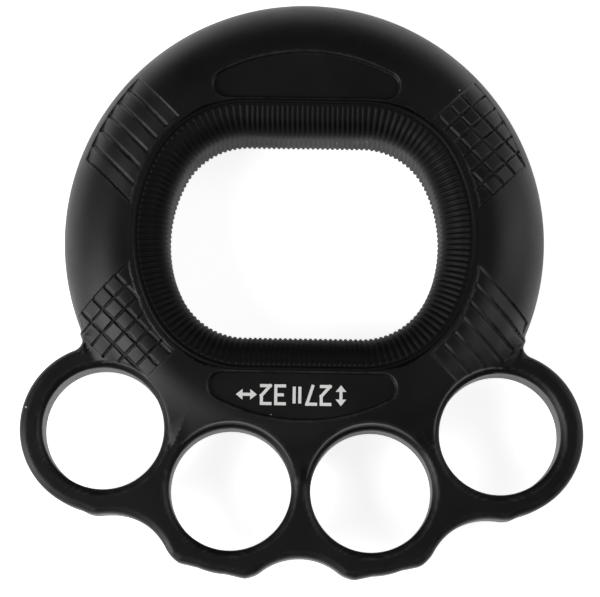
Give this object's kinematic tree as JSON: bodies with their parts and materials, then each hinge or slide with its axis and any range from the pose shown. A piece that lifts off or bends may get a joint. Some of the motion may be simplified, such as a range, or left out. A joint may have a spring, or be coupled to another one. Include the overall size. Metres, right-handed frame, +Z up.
{
  "type": "hand grip strengthener",
  "caption": "Elastic palm ring with a ribbed oval opening and a flat plate of finger holes, squeezed between fingers and palm to train grip.",
  "frame": {"origin": "middle of the outline's bounding box, on the plane it rests on", "axes": "+Z up through the thickness to the printed face, +Y from the finger plate to the palm side, +X to the right seen from the printed face with the palm side up"},
  "size_m": [0.1114, 0.1152, 0.025],
  "materials": {
    "silicone": "matte",
    "ink": "matte"
  },
  "bodies": {
    "finger_plate": {"finger_plate": "silicone", "base_arch": "silicone", "lower_left_bend": "silicone", "lower_right_bend": "silicone", "squeeze_arrow": "ink", "squeeze_digits": "ink", "print_divider": "ink", "across_digits": "ink", "across_arrow": "ink"},
    "left_wall": {"left_wall": "silicone", "upper_left_bend": "silicone"},
    "palm": {"palm_arch": "silicone", "left_shoulder": "silicone"},
    "right_wall": {"right_wall": "silicone", "upper_right_bend": "silicone"},
    "right_shoulder": {"right_shoulder": "silicone"}
  },
  "joints": [
    {"name": "squeeze", "type": "slide", "parent": "finger_plate", "child": "left_wall", "axis": [-0.7071, -0.7071, 0], "range_m": [-0.008, 0.012], "stiffness_N_per_m": 31500, "deforming": ["lower_left_bend"]},
    {"name": "palm_squeeze", "type": "slide", "parent": "left_wall", "child": "palm", "axis": [0.7071, -0.7071, 0], "range_m": [-0.008, 0.012], "deforming": ["upper_left_bend"]},
    {"name": "right_wall_squeeze", "type": "slide", "parent": "finger_plate", "child": "right_wall", "axis": [0.7071, -0.7071, 0], "range_m": [-0.008, 0.012], "deforming": ["lower_right_bend"]},
    {"name": "right_shoulder_squeeze", "type": "slide", "parent": "right_wall", "child": "right_shoulder", "axis": [-0.7071, -0.7071, 0], "range_m": [-0.008, 0.012], "deforming": ["upper_right_bend"]}
  ],
  "couplings": [
    {"joint": "palm_squeeze", "follows": "squeeze", "ratio": 1},
    {"joint": "right_wall_squeeze", "follows": "squeeze", "ratio": 1},
    {"joint": "right_shoulder_squeeze", "follows": "squeeze", "ratio": 1}
  ]
}
